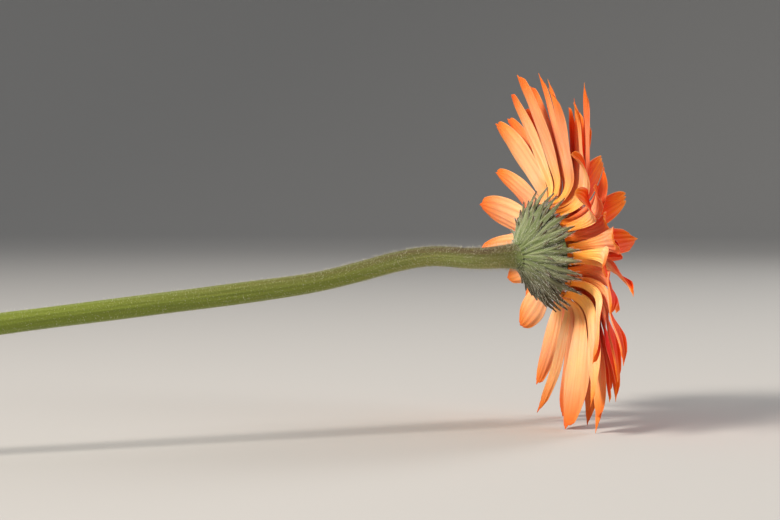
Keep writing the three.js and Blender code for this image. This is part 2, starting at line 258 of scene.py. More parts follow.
def volume(points, faces):
    """Six times the volume inside faces that point outwards: each triangle's a . (b x c), added up."""
    total = 0.0
    for corners in faces:
        for k in range(1, corners.shape[1] - 1):
            a, b, c = points[corners[:, 0]], points[corners[:, k]], points[corners[:, k + 1]]
            total += np.einsum("ij,ij->", a, np.cross(b, c))
    return total


def outward(points, faces):
    """The same faces, turned over if they look inwards."""
    if volume(points, faces) < 0:
        return [corners[:, ::-1] for corners in faces]
    return faces


def piece(name, points, faces, slot, material, replaces=(), **values):
    """A finished mesh on the body "root". faces are arrays of point numbers, 3 or 4 to a row; values are
    one number or vector for each point, which the material reads by name."""
    mesh = bpy.data.meshes.new(name)
    points = np.asarray(points, float)
    mesh.vertices.add(len(points))
    mesh.vertices.foreach_set("co", (points * MM).astype(np.float32).ravel())
    corners = np.concatenate([f.ravel() for f in faces]).astype(np.int32)
    sizes = np.concatenate([np.full(len(f), f.shape[1]) for f in faces])
    mesh.loops.add(len(corners))
    mesh.loops.foreach_set("vertex_index", corners)
    mesh.polygons.add(len(sizes))
    mesh.polygons.foreach_set("loop_start", (np.cumsum(sizes) - sizes).astype(np.int32))
    mesh.polygons.foreach_set("use_smooth", np.ones(len(sizes), bool))
    for key, value in values.items():
        value = np.asarray(value, np.float32)
        kind, field = ("FLOAT", "value") if value.ndim == 1 else ("FLOAT_VECTOR", "vector")
        layer = mesh.attributes.new(key, kind, "POINT")
        layer.data.foreach_set(field, value.ravel())
    mesh.update(calc_edges=True)
    mesh.materials.append(material)
    made = bpy.data.objects.new(name, mesh)
    bpy.context.scene.collection.objects.link(made)
    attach(made, "root")
    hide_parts(*replaces)
    return made


def scatter(template, template_faces, origins, frames):
    """Copies of a small shape: each copy's points are its origin plus the shape's points times its frame,
    whose rows are the shape's three axes."""
    count, size = len(origins), len(template)
    points = origins[:, None, :] + np.einsum("pk,nkc->npc", template, frames)
    shift = np.arange(count)[:, None, None] * size
    faces = [(f[None] + shift).reshape(-1, f.shape[1]) for f in template_faces]
    return points.reshape(-1, 3), faces


def framed(along, side):
    """Frames whose third axis is `along` and whose first leans towards `side`."""
    along = along / np.linalg.norm(along, axis=-1, keepdims=True)
    across = np.cross(side, along)
    across /= np.linalg.norm(across, axis=-1, keepdims=True)
    return np.stack([np.cross(across, along) * -1, across, along], axis=1)


def joined(parts):
    """Several (points, faces, values) as one."""
    points, faces, values, shift = [], {}, {}, 0
    for part_points, part_faces, part_values in parts:
        points.append(part_points)
        for f in part_faces:
            faces.setdefault(f.shape[1], []).append(f + shift)
        for key, value in part_values.items():
            values.setdefault(key, []).append(value)
        shift += len(part_points)
    return (
        np.concatenate(points),
        [np.concatenate(f) for f in faces.values()],
        {key: np.concatenate(value) for key, value in values.items()},
    )


# ---- Materials ----
def add(tree, kind, inputs=None, stops=None, **settings):
    """Adds a node: its settings, its colour stops if it is a ramp, and for each input a value or an
    output to link to it."""
    node = tree.nodes.new(kind)
    for name, value in settings.items():
        setattr(node, name, value)
    if stops:
        elements = node.color_ramp.elements
        while len(elements) < len(stops):
            elements.new(0.5)
        for element, (place, colour) in zip(elements, stops):
            element.position = place
            element.color = linear(colour)
    for key, value in (inputs or {}).items():
        if isinstance(value, bpy.types.NodeSocket):
            tree.links.new(value, node.inputs[key])
        else:
            node.inputs[key].default_value = value
    return node


def new_material(name):
    """An empty material and its node tree."""
    material = bpy.data.materials.new(name)
    material.use_nodes = True
    material.node_tree.nodes.clear()
    return material, material.node_tree


def petal_tissue(name, front_stops, back_stops, front_vein, back_vein):
    """Living petal tissue: thin, satin and slightly see-through, so light glows in it. Its inner face is
    saturated, its back paler, and fine veins run lengthwise a little under 1 mm apart."""
    material, tree = new_material(name)
    grain = add(tree, "ShaderNodeAttribute", attribute_name="grain").outputs["Vector"]
    along, front, rim, deep = (
        add(tree, "ShaderNodeAttribute", attribute_name=name).outputs["Fac"]
        for name in ("along", "front", "rim", "deep")
    )
    inside = add(tree, "ShaderNodeValToRGB", {"Fac": along}, stops=front_stops).outputs[0]
    outside = add(tree, "ShaderNodeValToRGB", {"Fac": along}, stops=back_stops).outputs[0]
    # Veins: noise drawn out along the ray, 0.8 mm across and 30 mm long.
    vein_place = add(tree, "ShaderNodeMapping", {"Vector": grain, "Scale": (1.25, 0.033, 1)}).outputs[0]
    vein = add(tree, "ShaderNodeTexNoise", {"Vector": vein_place, "Scale": 1.0, "Detail": 3.0}).outputs["Fac"]
    vein_mask = add(tree, "ShaderNodeMapRange", {"Value": vein, 1: 0.45, 2: 0.72}).outputs[0]
    front_share = add(tree, "ShaderNodeMath", {0: vein_mask, 1: 0.55}, operation="MULTIPLY").outputs[0]
    back_share = add(tree, "ShaderNodeMath", {0: vein_mask, 1: 0.42}, operation="MULTIPLY").outputs[0]
    inside = add(tree, "ShaderNodeMix", {0: front_share, 6: inside, 7: linear(front_vein)},
                 data_type="RGBA").outputs[2]
    outside = add(tree, "ShaderNodeMix", {0: back_share, 6: outside, 7: linear(back_vein)},
                  data_type="RGBA").outputs[2]
    # Backs of the inner rays are nearly as deep in colour as their fronts.
    outside = add(tree, "ShaderNodeMix", {0: deep, 6: outside, 7: inside}, data_type="RGBA").outputs[2]
    colour = add(tree, "ShaderNodeMix", {0: front, 6: outside, 7: inside}, data_type="RGBA").outputs[2]
    # Cloudy change of strength of colour, 9 mm across.
    cloud_place = add(tree, "ShaderNodeMapping", {"Vector": grain, "Scale": (0.11, 0.05, 1)}).outputs[0]
    cloud = add(tree, "ShaderNodeTexNoise",
                {"Vector": cloud_place, "Scale": 1.0, "Detail": 2.0}).outputs["Fac"]
    strength, shift = (
        add(tree, "ShaderNodeMapRange", {"Value": cloud, 1: 0.3, 2: 0.7, 3: low, 4: high}).outputs[0]
        for low, high in ((0.92, 1.06), (0.492, 0.506))
    )
    colour = add(tree, "ShaderNodeHueSaturation",
                 {"Color": colour, "Hue": shift, "Value": strength}).outputs[0]
    # Pale rim where the tissue thins out.
    rim_share = add(tree, "ShaderNodeMapRange", {"Value": rim, 1: 0.93, 2: 1.0, 3: 0.0, 4: 0.45}).outputs[0]
    colour = add(tree, "ShaderNodeMix", {0: rim_share, 6: colour, 7: linear("#FFC08A")},
                 data_type="RGBA").outputs[2]
    # Cells of the skin, drawn 0.3 mm across so that they show, and the veins' relief.
    cells = add(tree, "ShaderNodeTexNoise", {"Vector": grain, "Scale": 3.3, "Detail": 1.0}).outputs["Fac"]
    relief = add(tree, "ShaderNodeMath", {0: vein, 1: 2.2, 2: cells}, operation="MULTIPLY_ADD").outputs[0]
    normal = add(tree, "ShaderNodeBump", {"Height": relief, "Strength": 0.4, "Distance": 0.00008}).outputs[0]
    shader = add(tree, "ShaderNodeBsdfPrincipled", {
        "Base Color": colour, "Roughness": 0.6, "IOR": 1.2, "Specular IOR Level": 0.3, "Normal": normal,
        "Subsurface Weight": 0.25, "Subsurface Radius": (1.0, 0.3, 0.1), "Subsurface Scale": 0.001,
    }).outputs[0]
    add(tree, "ShaderNodeOutputMaterial", {"Surface": shader})
    return material


def leaf_tissue(name, along_stops, streak, edge):
    """Green leaf tissue under a silky felt: matt, with streaks along it 0.5 mm apart, edges darkened as
    painted shade between the scales, and a darker underside that is partly its own flush and partly painted
    shade.
    """
    material, tree = new_material(name)
    grain = add(tree, "ShaderNodeAttribute", attribute_name="grain").outputs["Vector"]
    along, rim, under = (
        add(tree, "ShaderNodeAttribute", attribute_name=name).outputs["Fac"]
        for name in ("along", "rim", "under")
    )
    waver = add(tree, "ShaderNodeTexNoise", {"Vector": grain, "Scale": 0.25}).outputs["Fac"]
    wavered = add(tree, "ShaderNodeMath", {0: waver, 1: 0.3, 2: -0.15}, operation="MULTIPLY_ADD").outputs[0]
    place = add(tree, "ShaderNodeMath", {0: along, 1: wavered}, operation="ADD").outputs[0]
    colour = add(tree, "ShaderNodeValToRGB", {"Fac": place}, stops=along_stops).outputs[0]
    streak_place = add(tree, "ShaderNodeMapping", {"Vector": grain, "Scale": (2.0, 0.12, 1)}).outputs[0]
    streaks = add(tree, "ShaderNodeTexNoise",
                  {"Vector": streak_place, "Scale": 1.0, "Detail": 4.0}).outputs["Fac"]
    streak_share = add(tree, "ShaderNodeMapRange",
                       {"Value": streaks, 1: 0.45, 2: 0.7, 3: 0.0, 4: 0.6}).outputs[0]
    colour = add(tree, "ShaderNodeMix", {0: streak_share, 6: colour, 7: linear(streak)},
                 data_type="RGBA").outputs[2]
    # Painted shade: the scales' edges are darkened towards the edge colour so that the gaps between them look
    # shadowed.
    edge_shade_share = add(tree, "ShaderNodeMapRange", {"Value": rim, 1: 0.55, 2: 1.0, 3: 0.0, 4: 0.8}).outputs[0]
    colour = add(tree, "ShaderNodeMix", {0: edge_shade_share, 6: colour, 7: linear(edge)},
                 data_type="RGBA").outputs[2]
    # Purple-brown on the scales that face down: partly their own flush and partly painted shade on their
    # undersides.
    flush_and_shade = add(tree, "ShaderNodeMath", {0: under, 1: 0.8}, operation="MULTIPLY").outputs[0]
    colour = add(tree, "ShaderNodeMix", {0: flush_and_shade, 6: colour, 7: linear("#40342A")},
                 data_type="RGBA").outputs[2]
    normal = add(tree, "ShaderNodeBump",
                 {"Height": streaks, "Strength": 0.6, "Distance": 0.00025}).outputs[0]
    shader = add(tree, "ShaderNodeBsdfPrincipled", {
        "Base Color": colour, "Roughness": 0.75, "Specular IOR Level": 0.25, "Normal": normal,
        "Sheen Weight": 0.35, "Sheen Roughness": 0.5, "Sheen Tint": linear("#E8F0D8"),
    }).outputs[0]
    add(tree, "ShaderNodeOutputMaterial", {"Surface": shader})
    return material


def stalk_skin():
    """Skin of a juicy flower stalk under short fuzz: satin yellow-green, fresher towards the cut end, with
    fine lengthwise streaks and a purple-brown underside near the flower, partly its own flush and partly
    painted shade."""
    material, tree = new_material("stalk_skin")
    grain = add(tree, "ShaderNodeAttribute", attribute_name="grain").outputs["Vector"]
    along, under = (
        add(tree, "ShaderNodeAttribute", attribute_name=name).outputs["Fac"] for name in ("along", "under")
    )
    colour = add(tree, "ShaderNodeValToRGB", {"Fac": along}, stops=[
        (0.0, "#6C7A46"), (0.03, "#8C985A"), (0.07, "#888E48"), (0.13, "#78822A"), (0.3, "#768424"),
        (0.6, "#7C8C28"), (1.0, "#90A038"),
    ]).outputs[0]
    # Darker purple-brown underside near the neck: partly the stalk's own flush and partly painted shade.
    flush_and_shade_stops = [
        (0.0, "#C8C8C8"), (0.03, "#FFFFFF"), (0.12, "#D0D0D0"), (0.3, "#606060"), (0.7, "#101010"),
    ]
    near_neck = add(tree, "ShaderNodeValToRGB", {"Fac": along}, stops=flush_and_shade_stops).outputs[0]
    flush_and_shade = add(tree, "ShaderNodeMath", {0: near_neck, 1: under}, operation="MULTIPLY").outputs[0]
    colour = add(tree, "ShaderNodeMix", {0: flush_and_shade, 6: colour, 7: linear("#4E362E")},
                 data_type="RGBA").outputs[2]
    streak_place = add(tree, "ShaderNodeMapping", {"Vector": grain, "Scale": (1.6, 0.05, 1)}).outputs[0]
    streaks = add(tree, "ShaderNodeTexNoise",
                  {"Vector": streak_place, "Scale": 1.0, "Detail": 4.0}).outputs["Fac"]
    streak_share = add(tree, "ShaderNodeMapRange",
                       {"Value": streaks, 1: 0.42, 2: 0.7, 3: 0.0, 4: 0.5}).outputs[0]
    colour = add(tree, "ShaderNodeMix", {0: streak_share, 6: colour, 7: linear("#5A681A")},
                 data_type="RGBA").outputs[2]
    # Pale flecks where hairs root, 0.4 mm across.
    flecks = add(tree, "ShaderNodeTexNoise", {"Vector": grain, "Scale": 2.4, "Detail": 2.0}).outputs["Fac"]
    fleck_share = add(tree, "ShaderNodeMapRange",
                      {"Value": flecks, 1: 0.55, 2: 0.75, 3: 0.0, 4: 0.35}).outputs[0]
    colour = add(tree, "ShaderNodeMix", {0: fleck_share, 6: colour, 7: linear("#B9C070")},
                 data_type="RGBA").outputs[2]
    relief = add(tree, "ShaderNodeMath", {0: streaks, 1: 2.0, 2: flecks}, operation="MULTIPLY_ADD").outputs[0]
    normal = add(tree, "ShaderNodeBump", {"Height": relief, "Strength": 0.5, "Distance": 0.0002}).outputs[0]
    shader = add(tree, "ShaderNodeBsdfPrincipled", {
        "Base Color": colour, "Roughness": 0.55, "Specular IOR Level": 0.35, "Normal": normal,
        "Sheen Weight": 0.3, "Sheen Roughness": 0.45, "Sheen Tint": linear("#EDF2CC"),
    }).outputs[0]
    add(tree, "ShaderNodeOutputMaterial", {"Surface": shader})
    return material


def plant_hair(name, colour):
    """Dry plant hairs: pale and slightly glossy, so they catch the light along edges."""
    material, tree = new_material(name)
    shade = add(tree, "ShaderNodeAttribute", attribute_name="along").outputs["Fac"]
    tint = add(tree, "ShaderNodeValToRGB", {"Fac": shade}, stops=[(0.0, colour), (1.0, "#F6F3E8")]).outputs[0]
    shader = add(tree, "ShaderNodeBsdfPrincipled", {
        "Base Color": tint, "Roughness": 0.45, "Specular IOR Level": 0.4,
    }).outputs[0]
    add(tree, "ShaderNodeOutputMaterial", {"Surface": shader})
    return material


def floret_tissue():
    """Tube florets of the disc: green-yellow buds, red-orange tubes and white lobes at their tips."""
    material, tree = new_material("floret_tissue")
    along, ripe = (
        add(tree, "ShaderNodeAttribute", attribute_name=name).outputs["Fac"] for name in ("along", "ripe")
    )
    bud = add(tree, "ShaderNodeValToRGB", {"Fac": along},
              stops=[(0.0, "#8E8A2E"), (0.6, "#B7B04A"), (1.0, "#D9D08A")]).outputs[0]
    opened = add(tree, "ShaderNodeValToRGB", {"Fac": along},
                 stops=[(0.0, "#D0300C"), (0.55, "#E4501C"), (0.8, "#EE7C44"), (0.95, "#F8CCAC")]).outputs[0]
    colour = add(tree, "ShaderNodeMix", {0: ripe, 6: bud, 7: opened}, data_type="RGBA").outputs[2]
    shader = add(tree, "ShaderNodeBsdfPrincipled", {
        "Base Color": colour, "Roughness": 0.5, "Specular IOR Level": 0.35,
        "Subsurface Weight": 0.2, "Subsurface Radius": (1.0, 0.5, 0.3), "Subsurface Scale": 0.0006,
    }).outputs[0]
    add(tree, "ShaderNodeOutputMaterial", {"Surface": shader})
    return material


def cut_pith():
    """Freshly cut pith: wet, pale green and finely porous, with a darker ring of fibres at the rim."""
    material, tree = new_material("cut_pith")
    grain = add(tree, "ShaderNodeAttribute", attribute_name="grain").outputs["Vector"]
    share = add(tree, "ShaderNodeAttribute", attribute_name="along").outputs["Fac"]
    colour = add(tree, "ShaderNodeValToRGB", {"Fac": share}, stops=[
        (0.0, "#C9CF9A"), (0.35, "#DDE3B4"), (0.78, "#C3CF86"), (0.88, "#8FA048"), (1.0, "#7C8C34"),
    ]).outputs[0]
    pores = add(tree, "ShaderNodeTexVoronoi", {"Vector": grain, "Scale": 3.0}).outputs["Distance"]
    normal = add(tree, "ShaderNodeBump", {"Height": pores, "Strength": 0.6, "Distance": 0.0002}).outputs[0]
    shader = add(tree, "ShaderNodeBsdfPrincipled", {
        "Base Color": colour, "Roughness": 0.3, "Specular IOR Level": 0.5, "Normal": normal,
    }).outputs[0]
    add(tree, "ShaderNodeOutputMaterial", {"Surface": shader})
    return material


RAY_TISSUE = petal_tissue(
    "ray_tissue",
    [(0.0, "#F09410"), (0.14, "#EE6006"), (0.3, "#EA2E00"), (0.75, "#F04600"), (0.95, "#F4720E"),
     (1.0, "#F89A48")],
    [(0.0, "#F0A030"), (0.16, "#F8B860"), (0.4, "#FDC692"), (0.72, "#F9B47A"), (0.91, "#EC8840"),
     (1.0, "#E06420")],
    "#C81C02", "#EC7832",
)
SHORT_TISSUE = petal_tissue(
    "short_ray_tissue",
    [(0.0, "#F08A20"), (0.3, "#E23608"), (0.8, "#EC5A28"), (0.96, "#F08C60"), (1.0, "#F8DCCC")],
    [(0.0, "#F09A30"), (0.3, "#EC6A30"), (0.8, "#F28A60"), (0.96, "#F4A488"), (1.0, "#F8DCCC")],
    "#C82808", "#E86838",
)
# Scales: colours from root to tip, pale streaks, and a dark colour painted at their edges as the shade
# between scales.
BRACT_TISSUE = leaf_tissue(
    "bract_tissue",
    [(0.0, "#64733A"), (0.3, "#6C7A4A"), (0.65, "#727E54"), (0.84, "#686844"), (0.95, "#5E3C34"),
     (1.0, "#4A2E2E")],
    "#A9AE88", "#2C351E",
)
HEART_TISSUE = leaf_tissue(
    "receptacle_tissue", [(0.0, "#6A7842"), (0.5, "#5C6C40"), (1.0, "#505C38")], "#7C8658", "#5C6C40",
)
STALK_SKIN = stalk_skin()
FELT_HAIR = plant_hair("felt_hair", "#BFC8AE")
STALK_HAIR = plant_hair("stalk_hair", "#C2C69A")
FLORET_TISSUE = floret_tissue()
CUT_PITH = cut_pith()

# ---- Rays ----
RAY_SAMPLES = 240                 # steps along the midrib
RAY_STATIONS = 76
RAY_ACROSS = 33
RAY_THICKNESS = 0.42
RIM_REACH = 0.93                  # how much of a quarter turn sets the lines' crowding at the rims
# Where along a ray its curl, sway, twist and other changes begin or are full, as shares of its length.
CURL_START = 0.4
SWAY_START = 0.25
TWIST_START = 0.2
TWIST_FULL = 0.7
CUPPED_FULL = 0.4
ROLL_START = 0.45
TAPER_START = 0.35
WIDEST = 0.66
NOTCHES_START = 0.7
THIN_START = 0.85
TIP_START = 0.62
TIP_LENGTH = 0.386
TIP_POWER = 2.1
ROOT_WIDTH = 0.24                 # against the widest
NOTCH_PLACE = 0.4                 # from the midrib, as a share of the half width
NOTCH_WIDTH = 0.16
RIBS = 2.5                        # ridges from the midrib to a rim
TABLE_CLEARANCE = 0.05

# Rays that differ from the rest: notch depth in mm, how pointed the tip is, how far the rims roll in, how
# much the ray narrows outwards, and how deep the colour of its back is.
TIP_LOOKS = {
    "i04": dict(notch=1.6, point=0.02, roll=0.2),
    "i05": dict(notch=1.2, point=0.16, roll=0.5),
    "o01": dict(point=0.05, roll=0.5, deep=0.15),
    "i12": dict(point=0.16, roll=1.2, taper=0.2, deep=0.35),
    "m14": dict(point=0.16, roll=1.2, taper=0.15),
    "m15": dict(point=0.12, roll=0.9, taper=0.15),
    "o14": dict(point=0.12, roll=1.0, taper=0.15, deep=0.18),
    "m22": dict(point=0.12, roll=0.9, taper=0.15),
    "m25": dict(point=0.10, roll=0.7, taper=0.25),
    "i21": dict(point=0.12, roll=0.9, taper=0.15),
    "o13": dict(point=0.05, roll=0.8),
    "m10": dict(point=0.16, roll=0.7, taper=0.55),
    "m11": dict(point=0.20, roll=0.9, taper=0.88),
    "i09": dict(point=0.12, roll=0.9, taper=0.3),
    "i10": dict(point=0.12, roll=0.4, taper=0.4),
    "i22": dict(point=0.12, roll=0.4, taper=0.35),
    "i23": dict(point=0.14, roll=0.6, taper=0.6),
    "i11": dict(point=0.08, roll=0.4, taper=0.3),
    "o06": dict(point=0.06, roll=0.6, taper=0.3, deep=0.12),
    "o07": dict(point=0.12, roll=1.4, taper=0.4, deep=0.06),
    "o08": dict(point=0.05, roll=0.6, taper=0.2, deep=0.12),
    "o09": dict(point=0.10, roll=0.5, taper=0.3),
    "o10": dict(point=0.10, roll=0.5, taper=0.3, deep=0.04),
    "m08": dict(point=0.12, roll=0.8, taper=0.25),
    "m09": dict(point=0.14, roll=1.0, taper=0.3),
}


def make_ray(name):
    """One line of RAYS with its ring's sizes and its own small differences."""
    at, long, wide, lean, curl, twist, sway, cup = ALL_RAYS[name]
    ring = ROWS[name[0]]
    rng = np.random.default_rng(sum(ord(letter) * 31 ** i for i, letter in enumerate(name)))
    ray = dict(
        at=at, length=RAY_LENGTH * ring["length"] * long, width=RAY_WIDTH * ring["width"] * wide,
        root=CUP_RADIUS * ring["root"], z=ring["z"], standing=ring["standing"], deep=ring["deep"],
        lean=lean, curl=curl, twist=twist, sway=sway, cup=cup,
        notch=rng.uniform(0.2, 0.9), point=rng.uniform(0.01, 0.05), roll=rng.uniform(0.1, 0.6),
        ribs=rng.uniform(0.07, 0.13), rib_phase=rng.uniform(-0.6, 0.6), buckle=rng.uniform(0.2, 0.5),
        phase=rng.uniform(0, 6.28, 4), seed=rng.uniform(0, 90), taper=rng.uniform(0.0, 0.12),
    )
    ray.update(TIP_LOOKS.get(name, {}))
    return ray


def heading(ray, s):
    """Angle of the midrib above the flower's plane: it stands in the cup, bends to its lean, then curls."""
    bent = smooth((s * ray["length"] - ray["standing"]) / ROW_BEND + 0.5)
    late = np.clip((s - CURL_START) / (1 - CURL_START), 0, None)
    return np.radians(STANDING_ANGLE + (ray["lean"] - STANDING_ANGLE) * bent + ray["curl"] * late**2)


def outline(s, taper):
    """Half width against the widest: it eases out from a narrow root to WIDEST, is narrowed by `taper`, and
    ends in a rounded tip, the square root of 1 less a power of the way along the tip."""
    grow = ROOT_WIDTH + (1 - ROOT_WIDTH) * smooth(s / WIDEST)
    grow = grow * (1 - taper * smooth((s - TAPER_START) / (1 - TAPER_START)))
    return grow * np.sqrt(np.clip(1 - np.clip((s - TIP_START) / TIP_LENGTH, 0, 1) ** TIP_POWER, 0.02, 1))


def end_share(ray, v):
    """Where the lengthwise line at v ends: later at the middle, and cut back by two notches."""
    shifted = v - 0.12 * np.sin(ray["phase"][0])
    notches = np.exp(-(((np.abs(shifted) - NOTCH_PLACE) / NOTCH_WIDTH) ** 2))
    return 1 - ray["point"] * np.abs(v) ** 1.6 - ray["notch"] / ray["length"] * notches


def relief(ray, s, v):
    """Height of the ray's skin over its smooth arc: lengthwise ribs as a cosine across, ruffled rims and a
    slight crimp as sines along it, which fade out at the root and the tip, and a slow buckle."""
    fade = smooth(s / 0.3) * (1 - smooth((s - 0.9) / 0.1))
    ribs = ray["ribs"] * np.cos(2 * np.pi * RIBS * v + ray["rib_phase"]) * fade
    a, b, c, d = ray["phase"]
    buckle = ray["buckle"] * smooth((s - 0.2) / 0.5) * (
        0.6 * np.sin(5.2 * s + a) + 0.5 * v * np.sin(7.5 * s + b)
    )
    ruffle = 0.22 * smooth((np.abs(v) - 0.6) / 0.4) * np.sin(13 * s + c + 2.5 * v) * fade
    crimp = 0.12 * np.sin(11 * s + 3.1 * v + d) * fade
    return ribs + buckle + ruffle + crimp


def ray_points(ray, s, v, lift):
    """Points of a ray: its midrib is stepped along `heading` from its root and swung sideways; across it
    goes an arc of angle `cup` each way, turned by `twist`; `lift` is the height over that arc."""
    out, around = directions(ray["at"])
    steps = (np.arange(RAY_SAMPLES) + 0.5) / RAY_SAMPLES
    angles = heading(ray, steps)
    step = ray["length"] / RAY_SAMPLES
    places = np.arange(RAY_SAMPLES + 1) / RAY_SAMPLES
    radius = np.interp(s, places, ray["root"] + step * np.append(0, np.cumsum(np.cos(angles))))
    z = np.interp(s, places, ray["z"] + step * np.append(0, np.cumsum(np.sin(angles))))
    late = np.clip(s - SWAY_START, 0, None) / (1 - SWAY_START)
    swing = math.radians(ray["sway"]) * ray["length"] * late**2
    h = heading(ray, s)[..., None]
    face = UPRIGHT * np.cos(h) - out * np.sin(h)
    turn = (math.radians(ray["twist"]) * smooth((s - TWIST_START) / (TWIST_FULL - TWIST_START)))[..., None]
    across = around * np.cos(turn) + face * np.sin(turn)
    up = face * np.cos(turn) - around * np.sin(turn)
    rolled = 1 + ray["roll"] * smooth((s - ROLL_START) / 0.5)
    cup = math.radians(ray["cup"]) * smooth(s / CUPPED_FULL) * rolled + 0.001
    half = ray["width"] / 2 * outline(s, ray["taper"])
    sideways = half * np.sin(cup * v) / cup - lift * np.sin(cup * v)
    upwards = half * (1 - np.cos(cup * v)) / cup + lift * np.cos(cup * v)
    centre = radius[..., None] * out + z[..., None] * UPRIGHT + swing[..., None] * around
    return centre + sideways[..., None] * across + upwards[..., None] * up


def petal(ray, stations, lines, thickness):
    """A closed petal: lines from rim to rim on its front and back again on its back, at stations along it,
    both crowded a little towards the rims and the tip. Its walls are `thickness` apart at the midrib and
    meet at the rims."""
    even = np.linspace(0, 1, stations) ** 0.92
    v = np.sin(np.linspace(-1, 1, lines) * np.pi / 2 * RIM_REACH) / math.sin(np.pi / 2 * RIM_REACH)
    loop_v, side = front_and_back(v)
    late = smooth((even[:, None] - NOTCHES_START) / (1 - NOTCHES_START))
    s = even[:, None] - (1 - end_share(ray, loop_v))[None, :] * late
    across = np.broadcast_to(loop_v, s.shape)
    thin = 1 - 0.7 * smooth((s - THIN_START) / (1 - THIN_START))
    half_thick = thickness / 2 * np.sqrt(np.clip(1 - across**4, 0, 1)) * thin
    points = ray_points(ray, s, across, relief(ray, s, across) + side * half_thick)
    # Each end is closed by quads between its front and back lines, and a triangle at each rim.
    around = len(loop_v)
    last = (stations - 1) * around
    j = np.arange(1, lines - 2)
    back = around - j
    strips, corners = [], []
    for start in (0, last):
        quads = np.stack([j, j + 1, back - 1, back], -1) + start
        ends = np.array([[0, 1, around - 1], [lines - 2, lines - 1, lines]]) + start
        strips.append(quads if start else quads[:, ::-1])
        corners.append(ends if start else ends[:, ::-1])
    faces = [np.concatenate([wrap(stations, around), *strips]), np.concatenate(corners)]
    points = points.reshape(-1, 3)
    width = (across * outline(s, ray["taper"]) * ray["width"] / 2).ravel()
    values = dict(
        along=s.ravel(), rim=np.abs(across).ravel(),
        front=np.broadcast_to((side + 1) / 2, s.shape).ravel(), deep=np.full(s.size, ray["deep"]),
        grain=np.stack([width, s.ravel() * ray["length"], np.full(s.size, ray["seed"])], -1),
    )
    return to_table(points), faces, values


def rest_on_table(ray):
    """Lengthens or shortens a ray, halving the range of lengths, until its lowest point is on the table."""
    short, long = ray["length"] * 0.8, ray["length"] * 1.25
    for _ in range(24):
        length = (short + long) / 2
        low = petal({**ray, "length": length}, 40, 17, RAY_THICKNESS)[0][:, 2].min()
        short, long = (length, long) if low > TABLE_CLEARANCE else (short, length)
    return {**ray, "length": short}


for ray_name in ALL_RAYS:
    shape = make_ray(ray_name)
    if ray_name in RESTING_RAYS:
        shape = rest_on_table(shape)
    points, faces, values = petal(shape, RAY_STATIONS, RAY_ACROSS, RAY_THICKNESS)
    stood_for = ["ray_" + ray_name] if ray_name in RAYS else []
    piece("petal_" + ray_name, points, outward(points, faces), "rays", RAY_TISSUE, stood_for, **values)


# ---- Disc: short inner rays, and tube florets ----
SHORT_RAYS = 34


def short_rays():
    """Narrow upright rays with pale tips, in a ring round the disc, as one mesh."""
    rng = np.random.default_rng(21)
    parts = []
    for i in range(SHORT_RAYS):
        ray = dict(
            at=(i + rng.uniform(-0.25, 0.25)) * 360 / SHORT_RAYS, length=rng.uniform(11, 14.5),
            width=rng.uniform(2.2, 3.3), root=rng.uniform(9.4, 10.3), z=-4.0, standing=rng.uniform(7, 9),
            lean=rng.uniform(62, 80), curl=rng.uniform(-25, 5), twist=rng.uniform(-25, 25),
            sway=rng.uniform(-4, 4), cup=rng.uniform(30, 60), notch=rng.uniform(0.8, 1.8), point=0.06,
            roll=0.3, ribs=0.03, rib_phase=0, buckle=0.15, phase=rng.uniform(0, 6.28, 4),
            seed=rng.uniform(0, 90), taper=0.2, deep=0.3,
        )
        points, faces, values = petal(ray, 22, 7, 0.3)
        parts.append((points, outward(points, faces), values))
    return joined(parts)


points, faces, values = short_rays()
piece("short_rays", points, faces, "rays", SHORT_TISSUE, **values)

DISC_ROOT = RECEPTACLE_TOP + 0.3
DISC_FLORETS = 190
DISC_REACH = 9.0
DISC_STEPS = 14
DISC_SIDES = 64
BUD_REACH = 5.6                   # florets nearer to the middle than this are still buds
GOLDEN_ANGLE = math.degrees(math.pi * (3 - math.sqrt(5)))


def disc_top(radius):
    """Height of the disc's dome at a radius: an arch of a sine, sunk in the middle, that falls off at the
    rim with the sixth power of the radius."""
    share = radius / DISC_REACH
    return 1.2 + 2.2 * np.sin(np.clip(share, 0, 1) * 2.4) - 2.0 * share**6


def disc_dome():
    """A round body under the florets: its wall goes up from the root, then over the dome."""
    radius = np.concatenate([[DISC_REACH + 0.4] * 3, np.linspace(DISC_REACH + 0.2, 0.6, DISC_STEPS)])
    z = np.concatenate([[DISC_ROOT, -5, -1], disc_top(radius[3:]) - 0.8])
    out, _ = directions(np.arange(DISC_SIDES) / DISC_SIDES * 360)
    rings = radius[:, None, None] * out + z[:, None, None] * UPRIGHT
    points = to_table(np.concatenate([rings.reshape(-1, 3), [[0, 0, z[0]], [0, 0, z[-1]]]]))
    faces = tube(len(radius), DISC_SIDES)
    size = len(points)
    return points, outward(points, faces), dict(along=np.zeros(size), ripe=np.full(size, 0.5))


def floret_shape(rings, sides=10):
    """A small closed body from rings of (radius at even corners, radius at odd corners, height)."""
    even = np.arange(sides) % 2 == 0
    turn = np.arange(sides) * 2 * np.pi / sides
    rows = [stack(np.where(even, a, b) * np.cos(turn), np.where(even, a, b) * np.sin(turn), z)
            for a, b, z in rings]
    points = np.concatenate([np.concatenate(rows), [[0, 0, rings[0][2]], [0, 0, rings[-1][2]]]])
    return points, outward(points, tube(len(rings), sides))


BUD = [
    (0.3, 0.3, -1.5), (0.42, 0.42, -0.2), (0.6, 0.52, 0.9), (0.55, 0.45, 1.7), (0.3, 0.24, 2.25),
    (0.08, 0.08, 2.4),
]
OPENED = [
    (0.25, 0.25, -1.5), (0.34, 0.34, 0.5), (0.46, 0.42, 2.2), (0.66, 0.52, 3.1), (1.25, 0.62, 3.9),
    (1.75, 0.66, 3.95), (1.6, 0.6, 4.12), (0.7, 0.45, 3.6), (0.3, 0.3, 3.3), (0.22, 0.22, 4.9),
    (0.3, 0.3, 5.6), (0.1, 0.1, 5.9),
]


